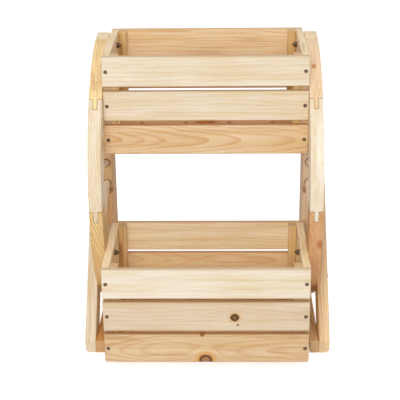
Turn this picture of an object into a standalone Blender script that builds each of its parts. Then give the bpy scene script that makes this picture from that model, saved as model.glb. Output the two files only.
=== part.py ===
"""Wagon wheel plant stand in softwood, at its real size.

Two slatted planters hang between two half wheels. Each half wheel has a rim of four sawn
segments, a half hub, four round spokes and a rear upright, and stands on a leaning front leg
and a floor rail. The frame has +Z up, the front towards -Y, and its origin on the floor under the
middle of the whole stand. Lengths are metres.
"""
import math

import bmesh
import bpy
from mathutils import Matrix, Vector

# Driving dimensions of the planters
BOX_WIDTH = 0.450
BOX_DEPTH = 0.266
UPPER_SLAT_HEIGHT = 0.067
LOWER_SLAT_HEIGHT = 0.070
SLAT_THICKNESS = 0.013
UPPER_SLAT_SPACING = 0.0105
LOWER_SLAT_SPACING = 0.0085
SLATS_HIGH = 3
SIDE_THICKNESS = 0.0165
POST_WIDTH = 0.018
POST_DEPTH = 0.022
FLOOR_THICKNESS = 0.010
DRAIN_DIAMETER = 0.012
DRAINS_ACROSS = 4
DRAINS_DEEP = 2

# Where the planters hang: below the wheels' crown, behind their back plane, above the floor,
# and behind the leg bolts
UPPER_BOX_DROP = 0.0035
UPPER_BOX_OVERHANG = 0.053
LOWER_BOX_CLEARANCE = 0.0195
LEG_BOLT_TO_BOX_BACK = 0.0647

# Driving dimensions of the half wheels
WHEEL_RADIUS = 0.3205
RIM_WIDTH = 0.060
RIM_THICKNESS = 0.0285
HUB_RADIUS = 0.081
UPRIGHT_WIDTH = 0.052
LOWER_UPRIGHT_WIDTH = 0.100
SHOULDER_DROP = 0.045
SPOKE_DIAMETER = 0.015
SPOKE_SEAT = 0.012
SPOKE_CHAMFER = 0.001
SPOKE_DEGREES = (54, 18, -18, -54)
TONGUE_LENGTH = 0.022
RIM_JOINT_DEGREES = (45, 0, -45)
RIM_LAYERS = 3
ARC_STEP_DEGREES = 3

# Legs and floor rails
LEG_WIDTH = 0.067
LEG_THICKNESS = 0.024
LEG_HUB_INSET = 0.018
TOE_OVERHANG = 0.0015
FOOT_HEIGHT = 0.030
RIM_TO_RAIL = 0.0136
FOOT_ROUNDING = 0.005
RAIL_THICKNESS = 0.020

# Bolts with their nuts
BOLT_DIAMETER = 0.006
BOLT_HEAD_DIAMETER = 0.014
BOLT_HEAD_HEIGHT = 0.0035
BOLT_TAIL = 0.004
NUT_WIDTH = 0.010
NUT_HEIGHT = 0.005
WASHER_DIAMETER = 0.014
WASHER_THICKNESS = 0.0012
REAR_BOLT_DROP = 0.025
UPPER_BOLT_TO_BOX_FRONT = 0.066
LOWER_BOLT_TO_BOX_TOP = 0.0205

# Clearances and edges
TOUCH_GAP = 0.0003
CUT_OVERRUN = 0.004
EDGE_EASE = 0.0015
BOLT_SIDES = 12
SPOKE_SIDES = 20

# Places that follow from the driving dimensions
SIDES = (("left", -1), ("right", 1))
UPPER_BOX_HEIGHT = SLATS_HIGH * UPPER_SLAT_HEIGHT + (SLATS_HIGH - 1) * UPPER_SLAT_SPACING
LOWER_BOX_HEIGHT = SLATS_HIGH * LOWER_SLAT_HEIGHT + (SLATS_HIGH - 1) * LOWER_SLAT_SPACING
RIM_INNER_RADIUS = WHEEL_RADIUS - RIM_WIDTH
RIM_MIDDLE_RADIUS = WHEEL_RADIUS - RIM_WIDTH / 2
BOX_HALF = BOX_WIDTH / 2
SIDE_INNER = BOX_HALF - SIDE_THICKNESS
RIM_INNER_X = BOX_HALF + TOUCH_GAP
RIM_OUTER_X = RIM_INNER_X + RIM_THICKNESS
LEG_INNER_X = RIM_OUTER_X + TOUCH_GAP
LEG_OUTER_X = LEG_INNER_X + LEG_THICKNESS
RIM_FOOT_DROP = math.sqrt(WHEEL_RADIUS ** 2 - (LOWER_UPRIGHT_WIDTH + TOUCH_GAP) ** 2)
WHEEL_HEIGHT = FOOT_HEIGHT + RIM_TO_RAIL + RIM_FOOT_DROP
LEG_REACH = WHEEL_RADIUS + TOE_OVERHANG
UPPER_BOX_BOTTOM = WHEEL_HEIGHT + WHEEL_RADIUS - UPPER_BOX_DROP - UPPER_BOX_HEIGHT
UPPER_BOX_FRONT = UPPER_BOX_OVERHANG - BOX_DEPTH


def leg_lean():
    """Angle from the vertical of a leg whose centre line passes the hub's middle."""
    forward = LEG_REACH - LEG_HUB_INSET
    rise = WHEEL_HEIGHT - FOOT_HEIGHT
    return math.acos(LEG_WIDTH / 2 / math.hypot(forward, rise)) - math.atan2(rise, forward)


def leg_bolt_place():
    """Where the leg's centre line crosses the middle of the rim, from the hub's middle."""
    slope = math.tan(leg_lean())
    root = RIM_MIDDLE_RADIUS ** 2 * (1 + slope ** 2) - LEG_HUB_INSET ** 2
    drop = (math.sqrt(root) - LEG_HUB_INSET * slope) / (1 + slope ** 2)
    return -LEG_HUB_INSET - drop * slope, -drop


def lower_box_front():
    """The lower planter's front face, from the back plane; its back follows the leg bolts."""
    return leg_bolt_place()[0] + LEG_BOLT_TO_BOX_BACK - BOX_DEPTH


def clear_scene():
    for obj in list(bpy.data.objects):
        bpy.data.objects.remove(obj, do_unlink=True)


def make_material(name, colour, roughness, metallic):
    material = bpy.data.materials.new(name)
    material.use_nodes = True
    shader = material.node_tree.nodes["Principled BSDF"]
    shader.inputs["Base Color"].default_value = (*colour, 1.0)
    shader.inputs["Roughness"].default_value = roughness
    shader.inputs["Metallic"].default_value = metallic
    return material


def make_empty(name, location, parent):
    empty = bpy.data.objects.new(name, None)
    bpy.context.scene.collection.objects.link(empty)
    empty.location = location
    empty.parent = parent
    return empty


def make_object(name, bm, parent, material=None, location=(0, 0, 0), turn=0):
    """A named object from a bmesh, turned about X and placed under its parent."""
    bmesh.ops.recalc_face_normals(bm, faces=bm.faces)
    mesh = bpy.data.meshes.new(name)
    bm.to_mesh(mesh)
    bm.free()
    mesh.shade_smooth()
    mesh.set_sharp_from_angle(angle=math.radians(35))
    obj = bpy.data.objects.new(name, mesh)
    bpy.context.scene.collection.objects.link(obj)
    if material:
        mesh.materials.append(material)
    obj.location = location
    obj.rotation_euler = (turn, 0, 0)
    obj.parent = parent
    return obj


def ease_edges(obj):
    """Small chamfers along the sawn edges of a board."""
    bevel = obj.modifiers.new("eased edges", "BEVEL")
    bevel.width = EDGE_EASE
    bevel.segments = 1
    bevel.limit_method = "ANGLE"
    bevel.angle_limit = math.radians(40)


def cut(obj, cutter):
    boolean = obj.modifiers.new(cutter.name, "BOOLEAN")
    boolean.operation = "DIFFERENCE"
    boolean.object = cutter
    boolean.solver = "EXACT"


def make_cutter(name, bm, parent):
    cutter = make_object(name, bm, parent)
    cutter.hide_render = True
    cutter.display_type = "WIRE"
    return cutter


def add_block(bm, low, high):
    """A rectangular block between two corners."""
    low, high = Vector(low), Vector(high)
    size = high - low
    matrix = Matrix.Translation((low + high) / 2) @ Matrix.Diagonal((*size, 1))
    bmesh.ops.create_cube(bm, size=1, matrix=matrix)


def add_plate(bm, outline, x_near, x_far):
    """A flat board: an outline in Y and Z, given its thickness along X."""
    near = [bm.verts.new((x_near, y, z)) for y, z in outline]
    far = [bm.verts.new((x_far, y, z)) for y, z in outline]
    bm.faces.new(near)
    bm.faces.new(far)
    for i in range(len(outline)):
        j = (i + 1) % len(outline)
        bm.faces.new((near[i], near[j], far[j], far[i]))


def add_turned(bm, start, direction, profile, sides):
    """A turned solid: pairs of distance along the axis and radius, from pole to pole."""
    direction = Vector(direction).normalized()
    turn = direction.to_track_quat("Z", "X").to_matrix()
    rings = []
    for along, radius in profile:
        centre = Vector(start) + direction * along
        ring = []
        for i in range(sides):
            angle = 2 * math.pi * i / sides
            spoke = turn @ Vector((radius * math.cos(angle), radius * math.sin(angle), 0))
            ring.append(bm.verts.new(centre + spoke))
        rings.append(ring)
    bm.faces.new(rings[0])
    bm.faces.new(rings[-1])
    for first, second in zip(rings, rings[1:]):
        for i in range(sides):
            j = (i + 1) % sides
            bm.faces.new((first[i], first[j], second[j], second[i]))


def add_rod(bm, start, end, radius, sides):
    """A plain round rod between two points."""
    start, end = Vector(start), Vector(end)
    add_turned(bm, start, end - start, [(0, radius), ((end - start).length, radius)], sides)


def arc(radius, start_degrees, end_degrees):
    """Points on a circle round the hub, angles measured up from the forward direction."""
    count = max(2, round(abs(end_degrees - start_degrees) / ARC_STEP_DEGREES))
    points = []
    for i in range(count + 1):
        angle = math.radians(start_degrees + (end_degrees - start_degrees) * i / count)
        points.append((-radius * math.cos(angle), radius * math.sin(angle)))
    return points


def board(name, low, high, parent, material):
    """A rectangular board with eased edges, its origin at its centre."""
    low, high = Vector(low), Vector(high)
    half = (high - low) / 2
    bm = bmesh.new()
    add_block(bm, -half, half)
    obj = make_object(name, bm, parent, material, (low + high) / 2)
    ease_edges(obj)
    return obj


def make_planter(name, parent, wood, box_height, slat_height):
    """One planter; its frame has the origin at the middle of the lower front edge."""
    pitch = (box_height - slat_height) / (SLATS_HIGH - 1)
    rear = BOX_DEPTH - SLAT_THICKNESS
    for face, y_low in (("front", 0), ("back", rear)):
        for level in range(SLATS_HIGH):
            top = box_height - level * pitch
            low = (-BOX_HALF, y_low, top - slat_height)
            high = (BOX_HALF, y_low + SLAT_THICKNESS, top)
            board(f"{name}_{face}_slat_{level + 1}", low, high, parent, wood)
    y_low = SLAT_THICKNESS + TOUCH_GAP
    y_high = rear - TOUCH_GAP
    sides = []
    for side, sign in SIDES:
        x_pair = sorted((sign * SIDE_INNER, sign * BOX_HALF))
        low = (x_pair[0], y_low, 0)
        high = (x_pair[1], y_high, box_height)
        sides.append(board(f"{name}_side_board_{side}", low, high, parent, wood))
        post_x = SIDE_INNER - TOUCH_GAP
        x_pair = sorted((sign * (post_x - POST_WIDTH), sign * post_x))
        for place, y in (("front", y_low), ("back", y_high - POST_DEPTH)):
            low = (x_pair[0], y, 0)
            high = (x_pair[1], y + POST_DEPTH, box_height)
            board(f"{name}_corner_post_{place}_{side}", low, high, parent, wood)
    make_floor(name, parent, wood, y_low, y_high)
    return sides


def make_floor(name, parent, wood, y_low, y_high):
    """The floor panel, notched round the corner posts and bored with drain holes."""
    half = SIDE_INNER - TOUCH_GAP
    notch_x = half - POST_WIDTH - TOUCH_GAP
    notch_y = POST_DEPTH + TOUCH_GAP
    outline = [(-notch_x, y_low), (notch_x, y_low), (notch_x, y_low + notch_y),
               (half, y_low + notch_y), (half, y_high - notch_y), (notch_x, y_high - notch_y),
               (notch_x, y_high), (-notch_x, y_high), (-notch_x, y_high - notch_y),
               (-half, y_high - notch_y), (-half, y_low + notch_y), (-notch_x, y_low + notch_y)]
    bm = bmesh.new()
    lower = [bm.verts.new((x, y, 0)) for x, y in outline]
    upper = [bm.verts.new((x, y, FLOOR_THICKNESS)) for x, y in outline]
    bm.faces.new(lower)
    bm.faces.new(upper)
    for i in range(len(outline)):
        j = (i + 1) % len(outline)
        bm.faces.new((lower[i], lower[j], upper[j], upper[i]))
    floor = make_object(f"{name}_floor_panel", bm, parent, wood)
    holes = bmesh.new()
    for i in range(DRAINS_ACROSS):
        x = half * (2 * i + 1 - DRAINS_ACROSS) / DRAINS_ACROSS
        for j in range(DRAINS_DEEP):
            y = y_low + (2 * j + 1) * (y_high - y_low) / (2 * DRAINS_DEEP)
            add_rod(holes, (x, y, -CUT_OVERRUN), (x, y, FLOOR_THICKNESS + CUT_OVERRUN),
                    DRAIN_DIAMETER / 2, BOLT_SIDES)
    cut(floor, make_cutter(f"{name}_drains", holes, parent))


def rim_end(radius, width):
    """The angle at which one of the rim's circles meets an upright of a given width."""
    return math.degrees(math.acos((width + TOUCH_GAP) / radius))


def rim_outline(top_degrees, bottom_degrees):
    """One rim segment. An end at the upright, given as None, is cut along the upright."""
    outer_top = inner_top = top_degrees
    outer_low = inner_low = bottom_degrees
    if top_degrees is None:
        outer_top = rim_end(WHEEL_RADIUS, UPRIGHT_WIDTH)
        inner_top = rim_end(RIM_INNER_RADIUS, UPRIGHT_WIDTH)
    if bottom_degrees is None:
        outer_low = -rim_end(WHEEL_RADIUS, LOWER_UPRIGHT_WIDTH)
        inner_low = -rim_end(RIM_INNER_RADIUS, LOWER_UPRIGHT_WIDTH)
    return arc(WHEEL_RADIUS, outer_top, outer_low) + arc(RIM_INNER_RADIUS, inner_low, inner_top)


def ease_rim(bm):
    """Chamfers along the curved edges of a rim segment, so that its joints stay tight."""
    curved = []
    for edge in bm.edges:
        if abs(edge.verts[0].co.x - edge.verts[1].co.x) > TOUCH_GAP:
            continue
        reach = [math.hypot(v.co.y, v.co.z) for v in edge.verts]
        for radius in (WHEEL_RADIUS, RIM_INNER_RADIUS):
            if all(abs(r - radius) < TOUCH_GAP for r in reach):
                curved.append(edge)
    bmesh.ops.bevel(bm, geom=curved, offset=EDGE_EASE, segments=1, affect="EDGES")


def rim_layer_cutter(name, side, first_layer, layers, from_degrees, to_degrees):
    """Wood to saw away from some of the rim's layers between two angles."""
    layer = RIM_THICKNESS / RIM_LAYERS
    near = RIM_INNER_X + first_layer * layer
    far = near + layers * layer
    if first_layer == 0:
        near -= CUT_OVERRUN
    if first_layer + layers == RIM_LAYERS:
        far += CUT_OVERRUN
    if 0 < first_layer:
        near -= TOUCH_GAP
    if first_layer + layers < RIM_LAYERS:
        far += TOUCH_GAP
    outer = arc(WHEEL_RADIUS + CUT_OVERRUN, from_degrees, to_degrees)
    inner = arc(RIM_INNER_RADIUS - CUT_OVERRUN, to_degrees, from_degrees)
    bm = bmesh.new()
    add_plate(bm, outer + inner, side["sign"] * near, side["sign"] * far)
    return make_cutter(name, bm, side["empty"])


def make_rim(side, wood):
    """Four segments; each upper one has a tongue that goes down into the slot of the next."""
    tongue = math.degrees(TONGUE_LENGTH / RIM_MIDDLE_RADIUS)
    play = math.degrees(TOUCH_GAP / RIM_INNER_RADIUS)
    margin = math.degrees(CUT_OVERRUN / RIM_INNER_RADIUS)
    names = ("top", "front_upper", "front_lower", "bottom")
    tops = (None,) + RIM_JOINT_DEGREES
    lows = RIM_JOINT_DEGREES + (None,)
    segments = []
    for name, top, low in zip(names, tops, lows):
        end = None if low is None else low - tongue
        start = None if top is None else top - play
        bm = bmesh.new()
        near, far = side["sign"] * RIM_INNER_X, side["sign"] * RIM_OUTER_X
        add_plate(bm, rim_outline(start, end), near, far)
        ease_rim(bm)
        label = f"rim_{name}_{side['name']}"
        segment = make_object(label, bm, side["empty"], wood)
        if low is not None:
            for first in (0, RIM_LAYERS - 1):
                cut(segment, rim_layer_cutter(f"cheek_{first}_{label}", side, first, 1,
                                              low, low - tongue - margin))
        if top is not None:
            cut(segment, rim_layer_cutter(f"slot_{label}", side, 1, RIM_LAYERS - 2,
                                          top + margin, top - tongue - play))
        segments.append(segment)
    return segments


def upright_shoulder(sign):
    """How far from the hub's middle an upright's front edge ends, towards the hub."""
    if sign < 0:
        return SHOULDER_DROP
    return math.sqrt((HUB_RADIUS + TOUCH_GAP) ** 2 - UPRIGHT_WIDTH ** 2)


def spoke_run(degrees):
    """Where a spoke starts and ends, from the hub's middle, seated in the wood at both ends."""
    sign = 1 if degrees > 0 else -1
    width = UPRIGHT_WIDTH if sign > 0 else LOWER_UPRIGHT_WIDTH
    angle = math.radians(abs(degrees))
    leaves = HUB_RADIUS
    if width * math.tan(angle) > upright_shoulder(sign):
        leaves = width / math.cos(angle)
    return leaves - SPOKE_SEAT, RIM_INNER_RADIUS + SPOKE_SEAT


def make_spokes(side, wood):
    """Round spokes, named after the rim segments they enter, and the cutter for their holes."""
    x = side["sign"] * (RIM_INNER_X + RIM_OUTER_X) / 2
    radius = SPOKE_DIAMETER / 2
    holes = bmesh.new()
    names = ("top", "front_upper", "front_lower", "bottom")
    for name, degrees in zip(names, SPOKE_DEGREES):
        angle = math.radians(degrees)
        direction = Vector((0, -math.cos(angle), math.sin(angle)))
        middle = Vector((x, 0, 0))
        start, end = spoke_run(degrees)
        length = end - start
        profile = [(0, radius - SPOKE_CHAMFER), (SPOKE_CHAMFER, radius),
                   (length - SPOKE_CHAMFER, radius), (length, radius - SPOKE_CHAMFER)]
        bm = bmesh.new()
        add_turned(bm, middle + direction * start, direction, profile, SPOKE_SIDES)
        make_object(f"spoke_{name}_{side['name']}", bm, side["empty"], wood)
        near = middle + direction * (start - TOUCH_GAP)
        far = middle + direction * (end + TOUCH_GAP)
        add_rod(holes, near, far, radius + TOUCH_GAP, SPOKE_SIDES)
    return make_cutter(f"spoke_holes_{side['name']}", holes, side["empty"])


def make_hub(side, wood):
    """A half disc with its flat on the back plane."""
    bm = bmesh.new()
    near, far = side["sign"] * RIM_INNER_X, side["sign"] * RIM_OUTER_X
    add_plate(bm, arc(HUB_RADIUS, 90, -90), near, far)
    hub = make_object(f"hub_{side['name']}", bm, side["empty"], wood)
    ease_edges(hub)
    return hub


def upright_hub_end(sign, width):
    """Points that cope an upright to the hub, from its front edge to the back plane."""
    radius = HUB_RADIUS + TOUCH_GAP
    shoulder = upright_shoulder(sign)
    reach = math.acos(shoulder / radius)
    steps = round(math.degrees(reach) / ARC_STEP_DEGREES)
    points = []
    if width > radius * math.sin(reach) + TOUCH_GAP:
        points.append((-width, sign * shoulder))
    for i in range(steps + 1):
        angle = reach * (1 - i / steps)
        points.append((-radius * math.sin(angle), sign * radius * math.cos(angle)))
    return points


def make_uprights(side, wood):
    """The rear upright in two lengths: hub to wheel top, and the wider one, hub to floor."""
    near, far = side["sign"] * RIM_INNER_X, side["sign"] * RIM_OUTER_X
    reach = math.degrees(math.asin(UPRIGHT_WIDTH / WHEEL_RADIUS))
    crown = arc(WHEEL_RADIUS, 90, 90 - reach)
    foot = [(0, -WHEEL_HEIGHT), (-LOWER_UPRIGHT_WIDTH, -WHEEL_HEIGHT)]
    uprights = []
    for name, sign, width, far_end in (("upper", 1, UPRIGHT_WIDTH, crown),
                                       ("lower", -1, LOWER_UPRIGHT_WIDTH, foot)):
        bm = bmesh.new()
        add_plate(bm, upright_hub_end(sign, width) + far_end, near, far)
        upright = make_object(f"upright_{name}_{side['name']}", bm, side["empty"], wood)
        ease_edges(upright)
        uprights.append(upright)
    return uprights


def make_leg(side, wood):
    """The front leg, with an upright toe face, a flat sole and a top end at the back plane."""
    lean = leg_lean()
    top_front = FOOT_HEIGHT + LEG_REACH / math.tan(lean)
    top_rear = top_front - LEG_WIDTH / math.sin(lean)
    heel = -top_rear * math.tan(lean)
    outline = [(-LEG_REACH, 0), (-LEG_REACH, FOOT_HEIGHT), (0, top_front), (0, top_rear), (heel, 0)]
    outline = [(y, z - WHEEL_HEIGHT) for y, z in outline]
    bm = bmesh.new()
    add_plate(bm, outline, side["sign"] * LEG_INNER_X, side["sign"] * LEG_OUTER_X)
    rounded = []
    for edge in bm.edges:
        ends = [v.co for v in edge.verts]
        if all(c.z < TOUCH_GAP - WHEEL_HEIGHT and abs(c.x) > LEG_OUTER_X - TOUCH_GAP for c in ends):
            rounded.append(edge)
    bmesh.ops.bevel(bm, geom=rounded, offset=FOOT_ROUNDING, segments=3, affect="EDGES")
    leg = make_object(f"front_leg_{side['name']}", bm, side["empty"], wood)
    ease_edges(leg)
    return leg


def make_rail(side, wood):
    """The floor rail inside the leg, from the toe to the rear upright."""
    x_pair = sorted((side["sign"] * (RIM_OUTER_X - RAIL_THICKNESS), side["sign"] * RIM_OUTER_X))
    low = (x_pair[0], -LEG_REACH, -WHEEL_HEIGHT)
    high = (x_pair[1], -LOWER_UPRIGHT_WIDTH - TOUCH_GAP, FOOT_HEIGHT - WHEEL_HEIGHT)
    board(f"floor_rail_{side['name']}", low, high, side["empty"], wood)


def bolt_places():
    """Each bolt: its name, its place from the wheel's middle, and the face under its head."""
    upper_y = UPPER_BOX_FRONT + UPPER_BOLT_TO_BOX_FRONT
    upper_z = math.sqrt(RIM_MIDDLE_RADIUS ** 2 - upper_y ** 2)
    lower_z = LOWER_BOX_CLEARANCE + LOWER_BOX_HEIGHT - LOWER_BOLT_TO_BOX_TOP - WHEEL_HEIGHT
    lower_y = -math.sqrt(RIM_MIDDLE_RADIUS ** 2 - lower_z ** 2)
    return (
        ("upper_rear", (-UPRIGHT_WIDTH / 2, WHEEL_RADIUS - REAR_BOLT_DROP), RIM_OUTER_X),
        ("upper_front", (upper_y, upper_z), RIM_OUTER_X),
        ("lower_front", (lower_y, lower_z), RIM_OUTER_X),
        ("leg", leg_bolt_place(), LEG_OUTER_X),
    )


def bolt_profile(face):
    """A bolt with its washer and nut: distance along it, radius, and whether it is six-sided."""
    radius = BOLT_DIAMETER / 2
    head = BOLT_HEAD_DIAMETER / 2
    washer = WASHER_DIAMETER / 2
    nut = NUT_WIDTH / 2 / math.cos(math.pi / 6)
    start = SIDE_INNER - TOUCH_GAP - WASHER_THICKNESS - NUT_HEIGHT - BOLT_TAIL
    nut_end = BOLT_TAIL + NUT_HEIGHT
    washer_end = nut_end + WASHER_THICKNESS
    seat = face + TOUCH_GAP - start
    profile = [(0, radius, False), (BOLT_TAIL, radius, False), (BOLT_TAIL, nut, True),
               (nut_end, nut, True), (nut_end, washer, False), (washer_end, washer, False),
               (washer_end, radius, False), (seat, radius, False), (seat, head, False)]
    crown_shares = ((1.0, 0.45), (0.72, 0.85), (0.35, 1.0))
    for width_share, height_share in crown_shares:
        profile.append((seat + BOLT_HEAD_HEIGHT * height_share, head * width_share, False))
    return start, profile


def add_bolt(bm, sign, place, face):
    start, profile = bolt_profile(face)
    rings = []
    for along, radius, six_sided in profile:
        ring = []
        for i in range(BOLT_SIDES):
            angle = 2 * math.pi * i / BOLT_SIDES
            flat = six_sided and i % 2 == 1
            reach = radius * math.cos(math.pi / 6) if flat else radius
            y = place[0] + reach * math.cos(angle)
            z = place[1] + reach * math.sin(angle)
            ring.append(bm.verts.new((sign * (start + along), y, z)))
        rings.append(ring)
    bm.faces.new(rings[0])
    bm.faces.new(rings[-1])
    for first, second in zip(rings, rings[1:]):
        for i in range(BOLT_SIDES):
            j = (i + 1) % BOLT_SIDES
            bm.faces.new((first[i], first[j], second[j], second[i]))


def make_bolts(side, steel):
    """Round-headed bolts with washers and nuts, and the cutter that bores their holes."""
    holes = bmesh.new()
    sign = side["sign"]
    for name, (y, z), face in bolt_places():
        bm = bmesh.new()
        add_bolt(bm, sign, (y, z), face)
        make_object(f"bolt_{name}_{side['name']}", bm, side["empty"], steel)
        near = sign * (SIDE_INNER - CUT_OVERRUN)
        far = sign * (face + CUT_OVERRUN)
        add_rod(holes, (near, y, z), (far, y, z), BOLT_DIAMETER / 2 + TOUCH_GAP, BOLT_SIDES)
    return make_cutter(f"bolt_holes_{side['name']}", holes, side["empty"])


def make_side(name, sign, stand, wood, steel):
    """One half wheel with its leg, rail and bolts. It returns the cutter for the bolt holes."""
    empty = make_empty(f"wheel_{name}", (0, 0, WHEEL_HEIGHT), stand)
    side = {"name": name, "sign": sign, "empty": empty}
    rim = make_rim(side, wood)
    hub = make_hub(side, wood)
    uprights = make_uprights(side, wood)
    leg = make_leg(side, wood)
    make_rail(side, wood)
    spoke_holes = make_spokes(side, wood)
    for piece in (*rim, hub, *uprights):
        cut(piece, spoke_holes)
    bolt_holes = make_bolts(side, steel)
    for piece in (*rim, uprights[0], leg):
        cut(piece, bolt_holes)
    return bolt_holes


def build():
    clear_scene()
    wood = make_material("natural_fir", (0.80, 0.62, 0.40), 0.6, 0.0)
    slats = make_material("pale_fir", (0.84, 0.68, 0.47), 0.6, 0.0)
    steel = make_material("dark_steel", (0.16, 0.14, 0.12), 0.45, 0.9)
    shift = -(lower_box_front() + UPPER_BOX_OVERHANG) / 2
    stand = make_empty("stand", (0, shift, 0), None)
    bolt_holes = []
    for name, sign in SIDES:
        bolt_holes.append(make_side(name, sign, stand, wood, steel))
    boxes = (
        ("upper", UPPER_BOX_FRONT, UPPER_BOX_BOTTOM, UPPER_BOX_HEIGHT, UPPER_SLAT_HEIGHT),
        ("lower", lower_box_front(), LOWER_BOX_CLEARANCE, LOWER_BOX_HEIGHT, LOWER_SLAT_HEIGHT),
    )
    for name, front, bottom, box_height, slat_height in boxes:
        frame = make_empty(f"{name}_planter", (0, front, bottom), stand)
        side_boards = make_planter(name, frame, slats, box_height, slat_height)
        for side_board, cutter in zip(side_boards, bolt_holes):
            cut(side_board, cutter)
    bpy.context.view_layer.update()


build()
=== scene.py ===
"""Looks for the wagon wheel plant stand: sawn fir boards, dark screws and bolts, studio light."""

import math

import bmesh
import bpy
from mathutils import Matrix, Vector


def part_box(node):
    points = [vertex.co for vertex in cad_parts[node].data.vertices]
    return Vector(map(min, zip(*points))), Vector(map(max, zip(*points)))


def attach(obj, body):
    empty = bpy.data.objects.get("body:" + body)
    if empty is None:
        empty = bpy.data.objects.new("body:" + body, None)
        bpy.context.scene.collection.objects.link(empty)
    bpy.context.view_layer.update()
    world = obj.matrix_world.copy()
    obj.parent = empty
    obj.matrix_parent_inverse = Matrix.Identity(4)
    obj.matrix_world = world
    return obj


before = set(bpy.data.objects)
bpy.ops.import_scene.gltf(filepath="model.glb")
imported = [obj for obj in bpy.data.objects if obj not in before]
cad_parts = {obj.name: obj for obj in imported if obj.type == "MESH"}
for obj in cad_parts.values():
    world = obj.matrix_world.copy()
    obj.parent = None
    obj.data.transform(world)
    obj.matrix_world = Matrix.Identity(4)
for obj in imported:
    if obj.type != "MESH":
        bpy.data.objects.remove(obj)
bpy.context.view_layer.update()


def srgb(red, green, blue):
    """A colour written in 0..255 screen values, as linear values with alpha."""
    out = []
    for value in (red, green, blue):
        value /= 255
        out.append(value / 12.92 if value <= 0.04045 else ((value + 0.055) / 1.055) ** 2.4)
    return (*out, 1.0)


# Camera
LENS_MM = 97.01
SENSOR_MM = 36.0
CAMERA_PLACE = (0.0409, -2.2964, 1.2563)
CAMERA_PITCH = math.radians(22.27)
CAMERA_YAW = math.radians(1.42)
CAMERA_ROLL = math.radians(-0.68)

# Light and floor
WORLD_LEVEL = 0.42
KEY_LAMP = dict(place=(-0.4, -3.1, 1.75), aim=(0, 0, 0.35), size=1.5, power=48.0)
TOP_LAMP = dict(place=(0.3, -0.6, 3.0), aim=(0, 0, 0.3), size=1.8, power=21.0)
FLOOR_SIZE = 9.0
FLOOR_TONE = 0.93
FLOOR_ROUGHNESS = 0.9
FLOOR_LIFT = 0.62

# Inputs and outputs of the fir group
FIR_VECTORS = ("Place", "End Normal", "Knot A", "Knot B", "Knot Plane")
FIR_COLOURS = ("Early", "Late", "Knot", "Halo")
FIR_DEFAULTS = {"Ring Width": 0.0035, "Heart Depth": 0.05, "Heart Height": 0.0, "Drift": 0.0,
                "Ring Strength": 0.5, "Fibre": 1.0, "Seed": 0.0, "Knot A Radius": 0.0,
                "Knot B Radius": 0.0, "Tone": 1.0, "End Share": 0.85, "Stain": 0.0, "Sway": 0.04,
                "Edge": 1.0, "Knot Line": 0.80}
FIR_OUTPUTS = (("Color", "NodeSocketColor"), ("Roughness", "NodeSocketFloat"),
               ("Height", "NodeSocketFloat"))

# Noises of the fir: scales along, into and across the board, then detail and roughness
SWAY_NOISE = ((4.0, 9.0, 9.0), 1.0)
LIFT_NOISE = ((13.0, 40.0, 40.0), 3.0)
WOBBLE_NOISE = ((260.0, 260.0, 260.0), 1.0)
FIBRE_NOISE = ((16.0, 620.0, 620.0), 3.0, 0.65)
STREAK_NOISE = ((5.0, 260.0, 260.0), 3.0, 0.65)
BAND_NOISE = ((1.6, 60.0, 60.0), 2.0, 0.5)
CLOUD_NOISE = ((6.0, 20.0, 20.0), 2.0, 0.5)
FLECK_NOISE = ((40.0, 420.0, 420.0), 1.0)
STAIN_NOISE = ((7.0, 75.0, 75.0), 2.0)
SPECK_NOISE = ((330.0, 330.0, 330.0), 2.0)
PORE_NOISE = ((0.0, 1500.0, 1500.0), 2.0, 0.6)
SEED_DIRECTION = (1.0, 1.7, -0.6)

# Growth rings: how far they wander and differ, and where in a year the late wood lies. The first
# noise runs along the radius, the second along the count of years
YEAR_NOISE = ((60.0, 0.0, 0.0), 1.0)
WEIGHT_NOISE = ((0.73, 1.0, 1.0), 0.0)
RING_LIFT = 0.011
RING_UNEVENNESS = 0.010
LATE_RISE = (0.45, 0.94)
LATE_FALL = (1.0, 0.95)
RING_WEIGHT = 0.9
RING_WEIGHT_SPREAD = 1.1

# Brightness: how much fibres, streaks, bands and clouds change it, and what it does to each colour
FIBRE_CONTRAST = 0.40
STREAK_CONTRAST = 0.30
BAND_CONTRAST = 0.40
CLOUD_CONTRAST = 0.26
RED_POWER = 0.70
GREEN_POWER = 1.20
BLUE_POWER = 2.90
BLUE_TONE_LIMIT = 1.04

# Flecks, warm streaks, stains and the painted shade of the eased long edges: where each starts and
# ends, and its share
FLECK_RANGE = (0.70, 0.78)
FLECK_SHARE = 0.40
WARM_RANGE = (0.52, 0.74)
WARM_SHARE = 0.40
STAIN_RANGE = (0.56, 0.70)
STAIN_COLOUR = srgb(170, 112, 62)
STAIN_COLOUR_SHARE = 0.5
# Painted shade along the eased long edges of a slat
EDGE_SHADE_RANGE = (-0.0022, 0.0008)
EDGE_SHADE_WAVE = 0.0012
EDGE_SHADE_SHARE = 0.55
EDGE_SHADE_COLOUR = srgb(150, 98, 56)
EDGE_SHADE_COLOUR_SHARE = 0.5

# Knots: the least radius and the wobble in metres, ranges of core, line and halo in shares of the
# knot's radius
LEAST_KNOT = 0.0002
KNOT_WOBBLE = 0.0020
KNOT_CORE_RANGE = (1.15, 0.80)
KNOT_LINE_RANGE = (0.05, 0.45)
KNOT_HALO_RANGE = (2.5, 1.1)
KNOT_PUSH_FADE = -0.16
KNOT_PUSH = 0.9
KNOT_CORE_SHARE = 0.96
KNOT_HALO_SHARE = 0.85
KNOT_HALO_COLOUR_SHARE = 0.75
KNOT_SPECK_RANGE = (0.35, 0.65)
KNOT_SPECK_SHARE = 0.20
KNOT_LINE_COLOUR = srgb(48, 28, 14)
KNOT_LINE_COLOUR_SHARE = 0.25

# End grain
END_RANGE = (0.55, 0.95)
PORE_RANGE = (0.35, 0.65)
END_DARK = srgb(196, 160, 116)
END_PALE = srgb(236, 214, 178)
END_BOARD_SHARE = 0.30

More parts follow.
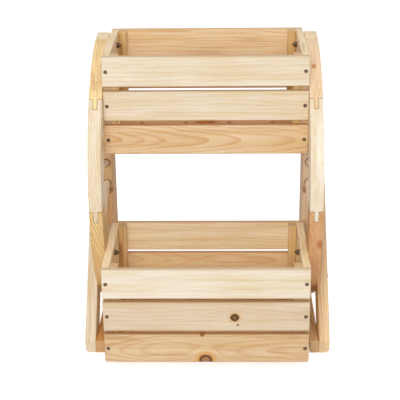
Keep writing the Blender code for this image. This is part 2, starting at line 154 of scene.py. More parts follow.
# Surface of the fir
FIR_ROUGHNESS = 0.62
FIR_ROUGHNESS_SPREAD = 0.20
FIBRE_HEIGHT = 0.6
LATE_HEIGHT = -0.5
PORE_HEIGHT = 0.8
FIR_BUMP = dict(strength=0.35, distance=0.0004)
FIR_SPECULAR = 0.25

# Painted shade round the spoke holes of a hub: a dark ring for the shadowed gap where each spoke
# enters
HOLE_SHADE_INNER = 0.0080
HOLE_SHADE_OUTER = 0.0105
HOLE_SHADE_START = (0.066, 0.074)
HOLE_SHADE = 0.92
HOLE_SHADE_COLOUR = srgb(70, 40, 22)

# Glue lines along the tongue joints of the rims
RIM_JOINT_DEGREES = (45, 0, -45)
TONGUE_DEGREES = 4.34
RIM_LAYERS = 3
GLUE_LINE = 0.0012
GLUE_LAYER_LINE = 0.0006
GLUE_NOISE = ((420.0, 420.0, 420.0), 2.0)
GLUE_PATCHES = (0.34, 0.58)
GLUE_LEAST = 0.2
GLUE_DARKNESS = 0.75
GLUE_COLOUR = srgb(112, 70, 38)

# Steel
BLOTCH_NOISE = ((400.0, 400.0, 400.0), 3.0, 0.6)
FINE_NOISE = ((1800.0, 1800.0, 1800.0), 2.0, 0.5)
RUST_RANGE = (0.50, 0.72)
RUST_COLOUR = srgb(112, 72, 44)
STEEL_ROUGHNESS = 0.5
STEEL_ROUGHNESS_SPREAD = 0.3
STEEL_BUMP = dict(strength=0.3, distance=0.0002)
STEEL_METALLIC = 0.35
BOLT_COLOUR = srgb(88, 66, 44)
SCREW_COLOUR = srgb(106, 80, 62)

# Screws at the slat ends: the head's profile is in shares of its radius and heights in metres
SCREW_HEAD_RADIUS = 0.0042
SCREW_INSET = 0.0085
SCREW_TURN_STEP = 0.4
HEAD_PROFILE = ((1.0, 0.0), (1.0, 0.0004), (0.93, 0.0007), (0.60, 0.0009), (0.54, 0.0009),
                (0.30, 0.0009), (0.12, 0.0001))
HEAD_SIDES = 32
RECESS_SHARE = 0.55
RECESS_DEPTH = 0.0008
RECESS_SPREAD = 0.38

# Seeds: a first one and a step for the planters' boxes and for the wheels
BOX_SEED = 20.0
BOX_SEED_STEP = 1.3
WHEEL_SEED = 50.0
WHEEL_SEED_STEP = 1.7

# Base tones of the boards: the wood between the rings, and the dark of a ring
CREAM = (srgb(236, 220, 194), srgb(216, 176, 120))
PALE = (srgb(240, 226, 204), srgb(226, 194, 148))
SAND = (srgb(234, 210, 178), srgb(210, 160, 102))
TAN = (srgb(234, 203, 162), srgb(206, 140, 74))
WARM = (srgb(238, 207, 166), srgb(208, 146, 82))
PINK = (srgb(240, 210, 174), srgb(214, 168, 128))
ROSE = (srgb(222, 176, 134), srgb(188, 126, 80))
GOLD = (srgb(242, 212, 160), srgb(210, 162, 102))
WARM_BRIGHT = (srgb(252, 226, 184), srgb(224, 156, 80))
SAND_BRIGHT = (srgb(252, 232, 196), srgb(230, 180, 112))
SAND_DULL = (srgb(225, 203, 174), srgb(202, 155, 100))
TAN_DULL = (srgb(224, 193, 152), srgb(196, 132, 70))
COPPER = (srgb(226, 164, 100), srgb(182, 112, 58))
BISCUIT = (srgb(228, 188, 140), srgb(176, 134, 90))
YELLOW = (srgb(236, 202, 144), srgb(184, 130, 60))
ROSE_BRIGHT = (srgb(222, 172, 124), srgb(192, 128, 78))
# Painted shade: a darker amber for the left lower upright, whose inner face lies in shade
SHADED_AMBER = (srgb(240, 196, 142), srgb(208, 140, 74))
GOLD_BRIGHT = (srgb(255, 226, 178), srgb(234, 162, 86))
BUTTER = (srgb(248, 226, 188), srgb(226, 188, 136))
# Painted light: a near-white tone that lifts the spokes seen in the shaded gap between the boards
LIT_DOWEL = (srgb(255, 236, 206), srgb(240, 208, 162))
ASH = (srgb(232, 204, 174), srgb(206, 166, 128))

# Colours and shapes of knots; a plane scales the distance along, into and across the board
KNOT_COLOUR = srgb(132, 84, 42)
HALO_COLOUR = srgb(196, 122, 60)
LONG_KNOT = (0.72, 0.0, 1.0)
EDGE_KNOT = (0.72, 1.0, 0.0)
ROUND_KNOT = (0.95, 0.0, 1.0)

# Each slat's tones and grain
SLAT_LOOKS = {
    "upper_front_slat_1": (CREAM, dict(
        ring_width=0.0090, heart_depth=0.03, heart_height=0.12, ring_strength=0.22, seed=1.0)),
    "upper_front_slat_2": (CREAM, dict(
        ring_width=0.0080, heart_depth=0.05, heart_height=0.14, ring_strength=0.25, tone=0.97,
        stain=0.12, seed=2.3)),
    "upper_front_slat_3": (TAN, dict(
        ring_width=0.0056, heart_depth=0.024, heart_height=0.002, drift=0.07, ring_strength=0.48,
        tone=0.95, seed=3.1)),
    "lower_front_slat_1": (PALE, dict(
        ring_width=0.0085, heart_depth=0.05, heart_height=-0.12, ring_strength=0.14, tone=0.97,
        seed=4.2)),
    "lower_front_slat_2": (SAND_DULL, dict(
        ring_width=0.0070, heart_depth=0.05, heart_height=0.09, ring_strength=0.18, stain=0.10,
        seed=5.6, knot_plane=ROUND_KNOT, knot=srgb(92, 52, 20), knot_line=0.95,
        halo=srgb(226, 184, 130), knot_a=(0.062, 0.0, -0.002), knot_a_radius=0.0074,
        knot_b=(0.069, 0.0, -0.020), knot_b_radius=0.0018)),
    "lower_front_slat_3": (TAN_DULL, dict(
        ring_width=0.0056, heart_depth=0.030, heart_height=-0.002, drift=-0.06,
        ring_strength=0.42, stain=0.35, seed=6.4, knot_plane=ROUND_KNOT, knot=srgb(170, 116, 82),
        knot_line=1.0, halo=srgb(228, 158, 54), knot_a=(-0.002, 0.0, -0.0300),
        knot_a_radius=0.0112, knot_b=(-0.009, 0.0, 0.0345), knot_b_radius=0.0034)),
    "upper_back_slat_1": (WARM_BRIGHT, dict(
        ring_width=0.0050, heart_depth=0.04, heart_height=0.05, ring_strength=0.4, stain=0.2,
        seed=7.7)),
    "upper_back_slat_2": (WARM, dict(
        ring_width=0.0046, heart_depth=0.05, heart_height=-0.04, ring_strength=0.5, seed=8.9)),
    "upper_back_slat_3": (TAN, dict(
        ring_width=0.0052, heart_depth=0.03, heart_height=0.01, drift=0.06, ring_strength=0.6,
        seed=9.3)),
    "lower_back_slat_1": (SAND_BRIGHT, dict(
        ring_width=0.0055, heart_depth=0.05, heart_height=0.06, ring_strength=0.35, stain=0.1,
        seed=10.1)),
    "lower_back_slat_2": (GOLD_BRIGHT, dict(
        ring_width=0.0050, heart_depth=0.03, heart_height=0.02, drift=0.06, ring_strength=0.4,
        stain=0.15, tone=1.03, seed=11.8)),
    "lower_back_slat_3": (TAN, dict(
        ring_width=0.0044, heart_depth=0.04, heart_height=0.02, drift=-0.02, ring_strength=0.6,
        seed=12.4)),
}

# Each box's side boards and floor panel; one knot of the upper panel shows between front slats
BOX_LOOKS = {
    "upper": (BUTTER, ROSE, dict(
        knot_plane=EDGE_KNOT, knot=srgb(196, 118, 46), knot_line=0.35, halo=srgb(206, 140, 90),
        knot_a=(-0.003, 0.062, 0.0), knot_a_radius=0.0122)),
    "lower": (SAND_BRIGHT, WARM, {}),
}
SIDE_BOARD_GRAIN = dict(ring_width=0.0042, heart_depth=0.06, heart_height=0.03, drift=0.02,
                        ring_strength=0.55, stain=0.5)
POST_GRAIN = dict(ring_width=0.0035, heart_depth=0.04, heart_height=0.02, ring_strength=0.9,
                  stain=1.0, tone=0.94, end_share=0.9)
FLOOR_GRAIN = dict(ring_width=0.0045, heart_depth=0.05, heart_height=0.02, ring_strength=0.5)

# Each rim segment's grain angle along its chord, from +Y towards +Z, its tones and its grain
STRAIGHT = dict(heart_depth=0.50, heart_height=0.0, ring_width=0.0058, sway=0.012)
LOOPED = dict(heart_depth=0.02, heart_height=0.05, ring_width=0.0050)
RIM_LOOKS = {
    "rim_top_left": (22, GOLD, dict(STRAIGHT, ring_strength=0.5, stain=0.35, tone=1.05)),
    "rim_top_right": (22, PINK, dict(
        LOOPED, ring_strength=0.4, knot=srgb(206, 144, 98), knot_line=0.2,
        halo=srgb(226, 168, 120), knot_a=(0.005, 0.002, 0.0), knot_a_radius=0.0034)),
    "rim_front_upper_left": (66, CREAM, dict(STRAIGHT, ring_strength=0.5, drift=0.02)),
    "rim_front_upper_right": (66, PALE, dict(LOOPED, ring_strength=0.20, tone=0.97)),
    "rim_front_lower_left": (114, YELLOW, dict(
        STRAIGHT, ring_width=0.0046, ring_strength=1.0, drift=0.34)),
    "rim_front_lower_right": (114, ROSE_BRIGHT, dict(
        LOOPED, ring_strength=0.4, knot=srgb(196, 126, 80), knot_line=0.25,
        halo=srgb(206, 140, 92), knot_a=(0.063, -0.012, 0.0), knot_a_radius=0.0050)),
    "rim_bottom_left": (158, GOLD, dict(STRAIGHT, ring_strength=0.6)),
    "rim_bottom_right": (158, ROSE, dict(LOOPED, ring_strength=0.6)),
}

# Every other piece of a wheel: its grain angle, its tones left and right, and its grain
WHEEL_GRAIN = dict(ring_width=0.0046, heart_depth=0.04, heart_height=0.06, ring_strength=0.5,
                   stain=0.15)
WHEEL_LOOKS = {
    "hub": (90, (TAN, ASH), dict(ring_strength=0.55, stain=0.3)),
    "spoke_top": (306, (PINK, PINK), {}),
    # The spokes' near-white tone is painted light for the shaded gap they are seen through
    "spoke_front_upper": (342, (LIT_DOWEL, LIT_DOWEL), dict(ring_strength=0.3)),
    "spoke_front_lower": (18, (LIT_DOWEL, LIT_DOWEL), dict(ring_strength=0.3)),
    "upright_upper": (90, (BUTTER, BUTTER), dict(end_share=0.0)),
    # The left lower upright's darker amber is painted shade on its inner face; the right one is the
    # same board in its lit tone
    "upright_lower": (90, (SHADED_AMBER, PINK), dict(tone=1.05)),
    "front_leg": (51, (CREAM, TAN), dict(tone=1.05)),
    "floor_rail": (0, (COPPER, BISCUIT), dict(end_share=0.6)),
    "spoke_bottom": (54, (SAND, SAND), {}),
}


class Graph:
    """Short calls that add nodes to a tree and link them."""

    def __init__(self, tree):
        self.tree = tree

    def add(self, kind, inputs=None, **settings):
        node = self.tree.nodes.new(kind)
        for name, value in settings.items():
            setattr(node, name, value)
        for name, value in (inputs or {}).items():
            self.put(node.inputs[name], value)
        return node

    def put(self, socket, value):
        if isinstance(value, bpy.types.NodeSocket):
            self.tree.links.new(value, socket)
        else:
            socket.default_value = value

    def math(self, operation, first, second=0.0, third=0.0, clamp=False):
        node = self.add("ShaderNodeMath", {0: first, 1: second, 2: third},
                        operation=operation, use_clamp=clamp)
        return node.outputs[0]

    def step(self, value, low, high):
        """A smooth 0..1 ramp between two values."""
        node = self.add("ShaderNodeMapRange", {"Value": value, "From Min": low, "From Max": high},
                        interpolation_type="SMOOTHSTEP")
        return node.outputs["Result"]

    def about(self, middle, width, noise):
        """A noise value, spread over a width about a middle."""
        return self.math("MULTIPLY_ADD", noise, width, middle - width / 2)

    def vector(self, operation, first, second=(0, 0, 0)):
        node = self.add("ShaderNodeVectorMath", {0: first, 1: second}, operation=operation)
        return node.outputs["Value" if operation in ("LENGTH", "DOT_PRODUCT") else "Vector"]

    def join(self, **parts):
        return self.add("ShaderNodeCombineXYZ", parts).outputs[0]

    def split(self, place):
        return self.add("ShaderNodeSeparateXYZ", {0: place}).outputs

    def noise(self, place, scale, detail=2.0, rough=0.5):
        """A noise value about 0.5, from coordinates stretched by a scale along each axis."""
        stretched = self.vector("MULTIPLY", place, scale)
        node = self.add("ShaderNodeTexNoise", {"Vector": stretched, "Scale": 1.0,
                                               "Detail": detail, "Roughness": rough})
        return node.outputs["Fac"]

    def mix(self, share, first, second, blend="MIX"):
        node = self.add("ShaderNodeMix", data_type="RGBA", blend_type=blend)
        self.put(node.inputs[0], share)
        self.put(node.inputs[6], first)
        self.put(node.inputs[7], second)
        return node.outputs[2]

    def bump(self, height, strength, distance):
        node = self.add("ShaderNodeBump", {"Height": height, "Strength": strength,
                                           "Distance": distance})
        return node.outputs[0]


def new_material(name):
    """A material with its graph and its shader."""
    material = bpy.data.materials.new(name)
    material.use_nodes = True
    return material, Graph(material.node_tree), material.node_tree.nodes["Principled BSDF"]


def add_fir_sockets(tree):
    for name in FIR_VECTORS:
        tree.interface.new_socket(name, in_out="INPUT", socket_type="NodeSocketVector")
    for name in FIR_COLOURS:
        tree.interface.new_socket(name, in_out="INPUT", socket_type="NodeSocketColor")
    for name, value in FIR_DEFAULTS.items():
        socket = tree.interface.new_socket(name, in_out="INPUT", socket_type="NodeSocketFloat")
        socket.default_value = value
    for name, kind in FIR_OUTPUTS:
        tree.interface.new_socket(name, in_out="OUTPUT", socket_type=kind)


def knot_fields(g, given, shifted):
    """Core, line and halo of both knots, and how far the knots push the rings away."""
    cores, lines, halos, pushes = [], [], [], []
    for name in ("Knot A", "Knot B"):
        offset = g.vector("SUBTRACT", given["Place"], given[name])
        far = g.vector("LENGTH", g.vector("MULTIPLY", offset, given["Knot Plane"]))
        far = g.math("ADD", far, g.about(0.0, KNOT_WOBBLE, g.noise(shifted, *WOBBLE_NOISE)))
        radius = given[name + " Radius"]
        real = g.math("GREATER_THAN", radius, LEAST_KNOT)
        reach = g.math("DIVIDE", far, g.math("MAXIMUM", radius, LEAST_KNOT / 2))
        cores.append(g.math("MULTIPLY", g.step(reach, *KNOT_CORE_RANGE), real))
        away = g.step(g.math("ABSOLUTE", g.math("SUBTRACT", reach, 1.0)), *KNOT_LINE_RANGE)
        lines.append(g.math("MULTIPLY", g.math("SUBTRACT", 1.0, away), real))
        halos.append(g.math("MULTIPLY", g.step(reach, *KNOT_HALO_RANGE), real))
        square = g.math("MULTIPLY", reach, reach)
        push = g.math("EXPONENT", g.math("MULTIPLY", square, KNOT_PUSH_FADE))
        pushes.append(g.math("MULTIPLY", g.math("MULTIPLY", push, radius), real))
    halo = g.math("MULTIPLY", g.math("ADD", *halos), KNOT_HALO_SHARE)
    return (g.math("MAXIMUM", *cores), g.math("MAXIMUM", *lines), g.math("MINIMUM", halo, 1.0),
            g.math("ADD", *pushes))


def growth_rings(g, given, shifted, parts, push):
    """How much late wood there is: rings round a heart line that wanders along the board."""
    sway = g.math("SUBTRACT", g.noise(shifted, *SWAY_NOISE), 0.5)
    drift = g.math("MULTIPLY", given["Drift"], parts[0])
    heart = g.math("ADD", g.math("ADD", given["Heart Depth"], drift),
                   g.math("MULTIPLY", sway, given["Sway"]))
    depth = g.math("SUBTRACT", parts[1], heart)
    across = g.math("SUBTRACT", parts[2], given["Heart Height"])
    across = g.math("ADD", across, g.about(0.0, RING_LIFT, g.noise(shifted, *LIFT_NOISE)))
    radius = g.math("SQRT", g.math("ADD", g.math("MULTIPLY", depth, depth),
                                   g.math("MULTIPLY", across, across)))
    radius = g.math("ADD", radius, g.math("MULTIPLY", push, KNOT_PUSH))
    # Rings differ in width and in darkness from year to year
    shifted_radius = g.join(X=g.math("ADD", radius, given["Seed"]))
    uneven = g.about(0.0, RING_UNEVENNESS, g.noise(shifted_radius, *YEAR_NOISE))
    count = g.math("DIVIDE", g.math("ADD", radius, uneven), given["Ring Width"])
    year = g.math("FRACT", count)
    late = g.math("MULTIPLY", g.step(year, *LATE_RISE), g.step(year, *LATE_FALL))
    weight = g.noise(g.join(X=g.math("FLOOR", count), Y=given["Seed"]), *WEIGHT_NOISE)
    late = g.math("MULTIPLY", late, g.about(RING_WEIGHT, RING_WEIGHT_SPREAD, weight))
    return g.math("MULTIPLY", late, given["Ring Strength"], clamp=True)


def fibre_shade(g, given, shifted, fibre, streak):
    """What fibres, streaks, bands and clouds multiply the wood's colour by."""
    band = g.noise(shifted, *BAND_NOISE)
    cloud = g.noise(shifted, *CLOUD_NOISE)
    tone = g.about(1.0, FIBRE_CONTRAST, fibre)
    for noise, contrast in ((streak, STREAK_CONTRAST), (band, BAND_CONTRAST),
                            (cloud, CLOUD_CONTRAST)):
        tone = g.math("MULTIPLY", tone, g.about(1.0, contrast, noise))
    tone = g.math("MULTIPLY", g.math("POWER", tone, given["Fibre"]), given["Tone"])
    # Dark fibres are warmer than pale ones
    limited = g.math("MINIMUM", tone, BLUE_TONE_LIMIT)
    shade = g.add("ShaderNodeCombineColor", {0: g.math("POWER", tone, RED_POWER),
                                             1: g.math("POWER", tone, GREEN_POWER),
                                             2: g.math("POWER", limited, BLUE_POWER)})
    return shade.outputs[0]


def long_grain(g, given, shifted, parts, late, fibre, streak):
    """The colour of a board's long faces, without its knots."""
    dark = given["Late"]
    colour = g.mix(late, given["Early"], dark)
    colour = g.mix(1.0, colour, fibre_shade(g, given, shifted, fibre, streak), "MULTIPLY")
    fleck = g.step(g.noise(shifted, *FLECK_NOISE), *FLECK_RANGE)
    colour = g.mix(g.math("MULTIPLY", fleck, FLECK_SHARE), colour, dark)
    warm = g.step(streak, *WARM_RANGE)
    colour = g.mix(g.math("MULTIPLY", warm, WARM_SHARE), colour, dark, "MULTIPLY")
    stain = g.math("MULTIPLY", g.step(g.noise(shifted, *STAIN_NOISE), *STAIN_RANGE), given["Stain"])
    colour = g.mix(stain, colour, g.mix(STAIN_COLOUR_SHARE, dark, STAIN_COLOUR))
    # Painted shade: the eased long edges of a slat are darkened, as they catch less light
    height = g.math("ADD", g.math("ABSOLUTE", parts[2]), g.math("MULTIPLY", streak, EDGE_SHADE_WAVE))
    edge_shade = g.step(g.math("SUBTRACT", height, given["Edge"]), *EDGE_SHADE_RANGE)
    return g.mix(g.math("MULTIPLY", edge_shade, EDGE_SHADE_SHARE), colour,
                 g.mix(EDGE_SHADE_COLOUR_SHARE, dark, EDGE_SHADE_COLOUR))


def add_knots(g, given, shifted, colour, core, line, halo):
    """Each knot is a speckled core in a darker line, with orange wood round it."""
    around = g.mix(KNOT_HALO_COLOUR_SHARE, given["Late"], given["Halo"])
    colour = g.mix(halo, colour, around)
    speck = g.step(g.noise(shifted, *SPECK_NOISE), *KNOT_SPECK_RANGE)
    heart = g.mix(speck, given["Knot"], g.mix(KNOT_SPECK_SHARE, given["Knot"], given["Late"]))
    colour = g.mix(g.math("MULTIPLY", core, KNOT_CORE_SHARE), colour, heart)
    edge = g.mix(KNOT_LINE_COLOUR_SHARE, KNOT_LINE_COLOUR, given["Knot"])
    return g.mix(g.math("MULTIPLY", line, given["Knot Line"]), colour, edge)


def add_end_grain(g, given, colour, end, pores):
    """End grain takes in more dirt and light than long grain."""
    tone = g.mix(g.step(pores, *PORE_RANGE), END_DARK, END_PALE)
    tone = g.mix(END_BOARD_SHARE, tone, colour, "MULTIPLY")
    return g.mix(g.math("MULTIPLY", end, given["End Share"]), colour, tone)


def fir_group():
    """Solid fir: growth rings round a drifting heart line, fibres, flecks and up to two knots."""
    tree = bpy.data.node_groups.new("fir", "ShaderNodeTree")
    add_fir_sockets(tree)
    g = Graph(tree)
    given = g.add("NodeGroupInput").outputs
    seed = g.join(**{axis: g.math("MULTIPLY", given["Seed"], share)
                     for axis, share in zip("XYZ", SEED_DIRECTION)})
    shifted = g.vector("ADD", given["Place"], seed)
    parts = g.split(given["Place"])
    core, line, halo, push = knot_fields(g, given, shifted)
    late = growth_rings(g, given, shifted, parts, push)
    fibre = g.noise(shifted, *FIBRE_NOISE)
    streak = g.noise(shifted, *STREAK_NOISE)
    colour = long_grain(g, given, shifted, parts, late, fibre, streak)
    colour = add_knots(g, given, shifted, colour, core, line, halo)
    facing = g.vector("DOT_PRODUCT", given["End Normal"], (1.0, 0.0, 0.0))
    end = g.step(g.math("ABSOLUTE", facing), *END_RANGE)
    pores = g.noise(shifted, *PORE_NOISE)
    height = g.math("ADD", g.math("MULTIPLY", fibre, FIBRE_HEIGHT),
                    g.math("MULTIPLY", late, LATE_HEIGHT))
    sunk = g.math("MULTIPLY", end, g.math("MULTIPLY", pores, PORE_HEIGHT))
    out = g.add("NodeGroupOutput")
    g.put(out.inputs["Color"], add_end_grain(g, given, colour, end, pores))
    g.put(out.inputs["Roughness"], g.about(FIR_ROUGHNESS, FIR_ROUGHNESS_SPREAD, fibre))
    g.put(out.inputs["Height"], g.math("ADD", height, sunk))
    return tree


FIR = fir_group()


def painted_hole_shade(g, where, colour, middle, direction):
    """Painted shade round a spoke's hole, for the shadowed gap round the spoke, near the hub's
    outer face only.
    """
    offset = g.vector("SUBTRACT", where, tuple(middle))
    reach = g.vector("LENGTH", g.vector("CROSS_PRODUCT", offset, tuple(direction)))
    ahead = g.vector("DOT_PRODUCT", offset, tuple(direction))
    painted_shade = g.math("MULTIPLY", g.step(reach, HOLE_SHADE_OUTER, HOLE_SHADE_INNER), HOLE_SHADE)
    painted_shade = g.math("MULTIPLY", painted_shade, g.step(ahead, *HOLE_SHADE_START))
    return g.mix(painted_shade, colour, HOLE_SHADE_COLOUR)


def tongue_line(g, offset, degrees, cheek, flank):
    """The outline of one tongue: its shoulder, its tip and its flanks."""
    edges = []
    for angle in (math.radians(degrees), math.radians(degrees - TONGUE_DEGREES)):
        edges.append(g.vector("DOT_PRODUCT", offset, (0, math.sin(angle), math.cos(angle))))
    shoulder, tip = (g.step(g.math("ABSOLUTE", edge), GLUE_LINE, GLUE_LINE / 3) for edge in edges)
    angle = math.radians(degrees)
    ahead = g.vector("DOT_PRODUCT", offset, (0, -math.cos(angle), math.sin(angle)))
    beside = g.math("MULTIPLY", g.math("LESS_THAN", edges[0], 0.0),
                    g.math("GREATER_THAN", edges[1], 0.0))
    mark = g.math("MAXIMUM", g.math("MULTIPLY", shoulder, cheek),
                  g.math("MULTIPLY", tip, g.math("SUBTRACT", 1.0, cheek)))
    mark = g.math("MAXIMUM", mark, g.math("MULTIPLY", flank, beside))
    return g.math("MULTIPLY", mark, g.math("GREATER_THAN", ahead, 0.0))


def glue_lines(g, where, colour, middle, half_tongue):
    """Dark lines round each tongue of a rim, seen from the wheel's middle."""
    offset = g.vector("SUBTRACT", where, tuple(middle))
    aside = g.math("SUBTRACT", g.math("ABSOLUTE", g.split(offset)[0]), half_tongue)
    cheek = g.step(aside, 0.0, GLUE_LAYER_LINE / 2)
    flank = g.step(g.math("ABSOLUTE", aside), GLUE_LAYER_LINE, GLUE_LAYER_LINE / 3)
    total = 0.0
    for degrees in RIM_JOINT_DEGREES:
        total = g.math("MAXIMUM", tongue_line(g, offset, degrees, cheek, flank), total)
    patchy = g.step(g.noise(where, *GLUE_NOISE), *GLUE_PATCHES)
    share = g.math("MULTIPLY_ADD", patchy, GLUE_DARKNESS - GLUE_LEAST, GLUE_LEAST)
    return g.mix(g.math("MULTIPLY", total, share), colour, GLUE_COLOUR)


def wood(name, centre, along, holes=(), joints=None, **grain):
    """A fir material for one board: its middle, and its grain's angle from +Y towards +Z.
    An angle of None runs the grain along X. Holes are lines whose ends get painted shade, and
    joints give the wheel's middle and half a tongue's thickness, for glue lines."""
    material, g, shader = new_material(name)
    coordinates = g.add("ShaderNodeTexCoord").outputs
    where = coordinates["Object"]
    turn = (0, 0, 0) if along is None else (-math.radians(along), 0, -math.pi / 2)
    moved = g.vector("SUBTRACT", where, tuple(centre))
    place = g.add("ShaderNodeMapping", {"Vector": moved, "Rotation": turn}, vector_type="POINT")
    facing = g.add("ShaderNodeMapping", {"Vector": coordinates["Normal"], "Rotation": turn},
                   vector_type="NORMAL")
    fir = g.add("ShaderNodeGroup", node_tree=FIR)
    look = dict(knot=KNOT_COLOUR, halo=HALO_COLOUR, knot_plane=LONG_KNOT)
    look.update(grain, place=place.outputs[0], end_normal=facing.outputs[0])
    for key, value in look.items():
        g.put(fir.inputs[key.replace("_", " ").title()], value)
    colour = fir.outputs["Color"]
    # Painted shade round each spoke's hole
    for middle, direction in holes:
        colour = painted_hole_shade(g, where, colour, middle, direction)
    if joints is not None:
        colour = glue_lines(g, where, colour, *joints)
    g.put(shader.inputs["Base Color"], colour)
    g.put(shader.inputs["Roughness"], fir.outputs["Roughness"])
    g.put(shader.inputs["Normal"], g.bump(fir.outputs["Height"], **FIR_BUMP))
    shader.inputs["Specular IOR Level"].default_value = FIR_SPECULAR
    return material


def steel(name, colour):
    """Dull dark steel with uneven bluing and a little rust."""
    material, g, shader = new_material(name)
    where = g.add("ShaderNodeTexCoord").outputs["Object"]
    fine = g.noise(where, *FINE_NOISE)
    rust = g.step(g.noise(where, *BLOTCH_NOISE), *RUST_RANGE)
    g.put(shader.inputs["Base Color"], g.mix(rust, colour, RUST_COLOUR))
    g.put(shader.inputs["Roughness"], g.about(STEEL_ROUGHNESS, STEEL_ROUGHNESS_SPREAD, fine))
    g.put(shader.inputs["Normal"], g.bump(fine, **STEEL_BUMP))
    shader.inputs["Metallic"].default_value = STEEL_METALLIC
    return material


def place_of(node):
    low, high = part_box(node)
    return (low + high) / 2


def dress(node, along, tones, **grain):
    """Gives one CAD board its own fir material."""
    early, late = tones
    material = wood("fir_" + node, place_of(node), along, early=early, late=late, **grain)
    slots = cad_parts[node].data.materials
    slots.clear()
    slots.append(material)


def dress_slats():
    for node, (tones, grain) in SLAT_LOOKS.items():
        low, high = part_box(node)
        dress(node, None, tones, edge=(high.z - low.z) / 2, **grain)


def dress_boxes():
    """The side boards, corner posts and floor panel of both planters."""
    seed = BOX_SEED
    for box, (side_tones, floor_tones, knots) in BOX_LOOKS.items():
        for side in ("left", "right"):
            dress(f"{box}_side_board_{side}", 0, side_tones, seed=seed, **SIDE_BOARD_GRAIN)
            seed += BOX_SEED_STEP
            for place in ("front", "back"):
                dress(f"{box}_corner_post_{place}_{side}", 90, GOLD, seed=seed, **POST_GRAIN)
                seed += BOX_SEED_STEP
        dress(f"{box}_floor_panel", None, floor_tones, seed=seed, **FLOOR_GRAIN, **knots)
        seed += BOX_SEED_STEP


def wheel_middle(side):
    """The point that the rim and the spokes of one side run round."""
    low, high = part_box("hub_" + side)
    return Vector(((low.x + high.x) / 2, high.y, (low.z + high.z) / 2))


def spoke_lines(side):
    """A point and the direction of each spoke with painted shade round its hole, from the hub's
    middle.
    """
    middle = wheel_middle(side)
    lines = []
    for name in ("top", "front_upper", "front_lower"):
        lines.append((middle, (place_of(f"spoke_{name}_{side}") - middle).normalized()))
    return lines


def dress_wheels():
    seed = WHEEL_SEED
    for node, (angle, tones, grain) in RIM_LOOKS.items():
        low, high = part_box(node)
        joints = (wheel_middle(node.split("_")[-1]), (high.x - low.x) / RIM_LAYERS / 2)
        dress(node, angle, tones, knot_plane=EDGE_KNOT, seed=seed, joints=joints, **grain)
        seed += WHEEL_SEED_STEP
    for part, (angle, tones, grain) in WHEEL_LOOKS.items():
        for side, side_tones in zip(("left", "right"), tones):
            look = {**WHEEL_GRAIN, **grain, "seed": seed}
            # The hub gets painted shade round its spoke holes
            if part == "hub":
                look["holes"] = spoke_lines(side)
            dress(f"{part}_{side}", angle, side_tones, **look)
            seed += WHEEL_SEED_STEP


def dress_bolts():
    dark = steel("bolt_dark_steel", BOLT_COLOUR)
    for node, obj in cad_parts.items():
        if node.startswith("bolt_"):
            obj.data.materials.clear()
            obj.data.materials.append(dark)


def screw_head_mesh():
    """A flat screw head with a bevelled rim and a sunk cross, facing -Y, its back at zero."""
    bm = bmesh.new()
    rings = []
    for share, height in HEAD_PROFILE:
        ring = []
        for i in range(HEAD_SIDES):
            angle = 2 * math.pi * i / HEAD_SIDES
            radius = SCREW_HEAD_RADIUS * share
            sunk = share < RECESS_SHARE and abs(math.sin(2 * angle)) < RECESS_SPREAD
            level = height - RECESS_DEPTH if sunk else height
            ring.append(bm.verts.new((radius * math.cos(angle), -level,
                                      radius * math.sin(angle))))
        rings.append(ring)
    for first, second in zip(rings, rings[1:]):
        for i in range(HEAD_SIDES):
            j = (i + 1) % HEAD_SIDES
            bm.faces.new((first[i], first[j], second[j], second[i]))
    bm.faces.new(rings[0])
    bm.faces.new(rings[-1])
    bmesh.ops.recalc_face_normals(bm, faces=bm.faces)
    mesh = bpy.data.meshes.new("screw_head")
    bm.to_mesh(mesh)
    bm.free()
    return mesh


def make_screws():
    """A screw head at each end of each slat; all share one mesh."""
    mesh = screw_head_mesh()
    mesh.materials.append(steel("screw_dark_steel", SCREW_COLOUR))
    mesh.shade_smooth()
    for box in ("upper", "lower"):
        for face in ("front", "back"):
            for level in (1, 2, 3):
                low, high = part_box(f"{box}_{face}_slat_{level}")
                y, turn = (low.y, 0) if face == "front" else (high.y, math.pi)
                for end, x in (("left", low.x + SCREW_INSET), ("right", high.x - SCREW_INSET)):
                    head = bpy.data.objects.new(f"screw_{box}_{face}_{level}_{end}", mesh)
                    bpy.context.scene.collection.objects.link(head)
                    head.location = (x, y, (low.z + high.z) / 2)
                    head.rotation_euler = (0, SCREW_TURN_STEP * level + x, turn)
                    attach(head, "root")


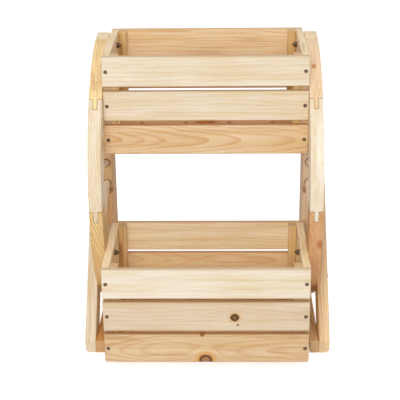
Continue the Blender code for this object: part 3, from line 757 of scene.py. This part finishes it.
def make_floor():
    """A plain pale floor that keeps the shadow and is lifted to white for the camera."""
    bpy.ops.mesh.primitive_plane_add(size=FLOOR_SIZE)
    floor = bpy.context.object
    floor.name = "floor"
    material, g, shader = new_material("floor_white")
    shader.inputs["Base Color"].default_value = (FLOOR_TONE, FLOOR_TONE, FLOOR_TONE, 1)
    shader.inputs["Roughness"].default_value = FLOOR_ROUGHNESS
    shader.inputs["Specular IOR Level"].default_value = 0.0
    paths = g.add("ShaderNodeLightPath").outputs
    seen = g.math("MAXIMUM", paths["Is Camera Ray"], paths["Is Glossy Ray"])
    g.put(shader.inputs["Emission Color"], (1, 1, 1, 1))
    g.put(shader.inputs["Emission Strength"], g.math("MULTIPLY", seen, FLOOR_LIFT))
    floor.data.materials.append(material)


def make_world():
    """An even light, seen as white by the camera, in reflections and through glass."""
    world = bpy.data.worlds.new("studio")
    bpy.context.scene.world = world
    world.use_nodes = True
    g = Graph(world.node_tree)
    back = world.node_tree.nodes["Background"]
    paths = g.add("ShaderNodeLightPath").outputs
    seen = g.math("MAXIMUM", paths["Is Camera Ray"], paths["Is Glossy Ray"])
    seen = g.math("MAXIMUM", seen, paths["Is Transmission Ray"])
    level = g.add("ShaderNodeMapRange", {"Value": seen, "To Min": WORLD_LEVEL, "To Max": 1.0})
    g.put(back.inputs["Strength"], level.outputs[0])
    back.inputs["Color"].default_value = (1, 1, 1, 1)


def add_lamp(name, place, aim, size, power):
    lamp = bpy.data.lights.new(name, "AREA")
    lamp.shape = "SQUARE"
    lamp.size = size
    lamp.energy = power
    obj = bpy.data.objects.new(name, lamp)
    bpy.context.scene.collection.objects.link(obj)
    obj.location = place
    toward = Vector(aim) - Vector(place)
    obj.rotation_euler = toward.to_track_quat("-Z", "Y").to_euler()


def make_camera():
    data = bpy.data.cameras.new("camera")
    data.lens = LENS_MM
    data.sensor_width = SENSOR_MM
    camera = bpy.data.objects.new("camera", data)
    bpy.context.scene.collection.objects.link(camera)
    turn = (Matrix.Rotation(CAMERA_YAW, 4, "Z")
            @ Matrix.Rotation(math.pi / 2 - CAMERA_PITCH, 4, "X")
            @ Matrix.Rotation(CAMERA_ROLL, 4, "Z"))
    camera.matrix_world = Matrix.Translation(CAMERA_PLACE) @ turn
    bpy.context.scene.camera = camera


bpy.context.scene.view_settings.view_transform = "Standard"
dress_slats()
dress_boxes()
dress_wheels()
dress_bolts()
make_screws()
make_floor()
make_world()
add_lamp("key", **KEY_LAMP)
add_lamp("top", **TOP_LAMP)
make_camera()
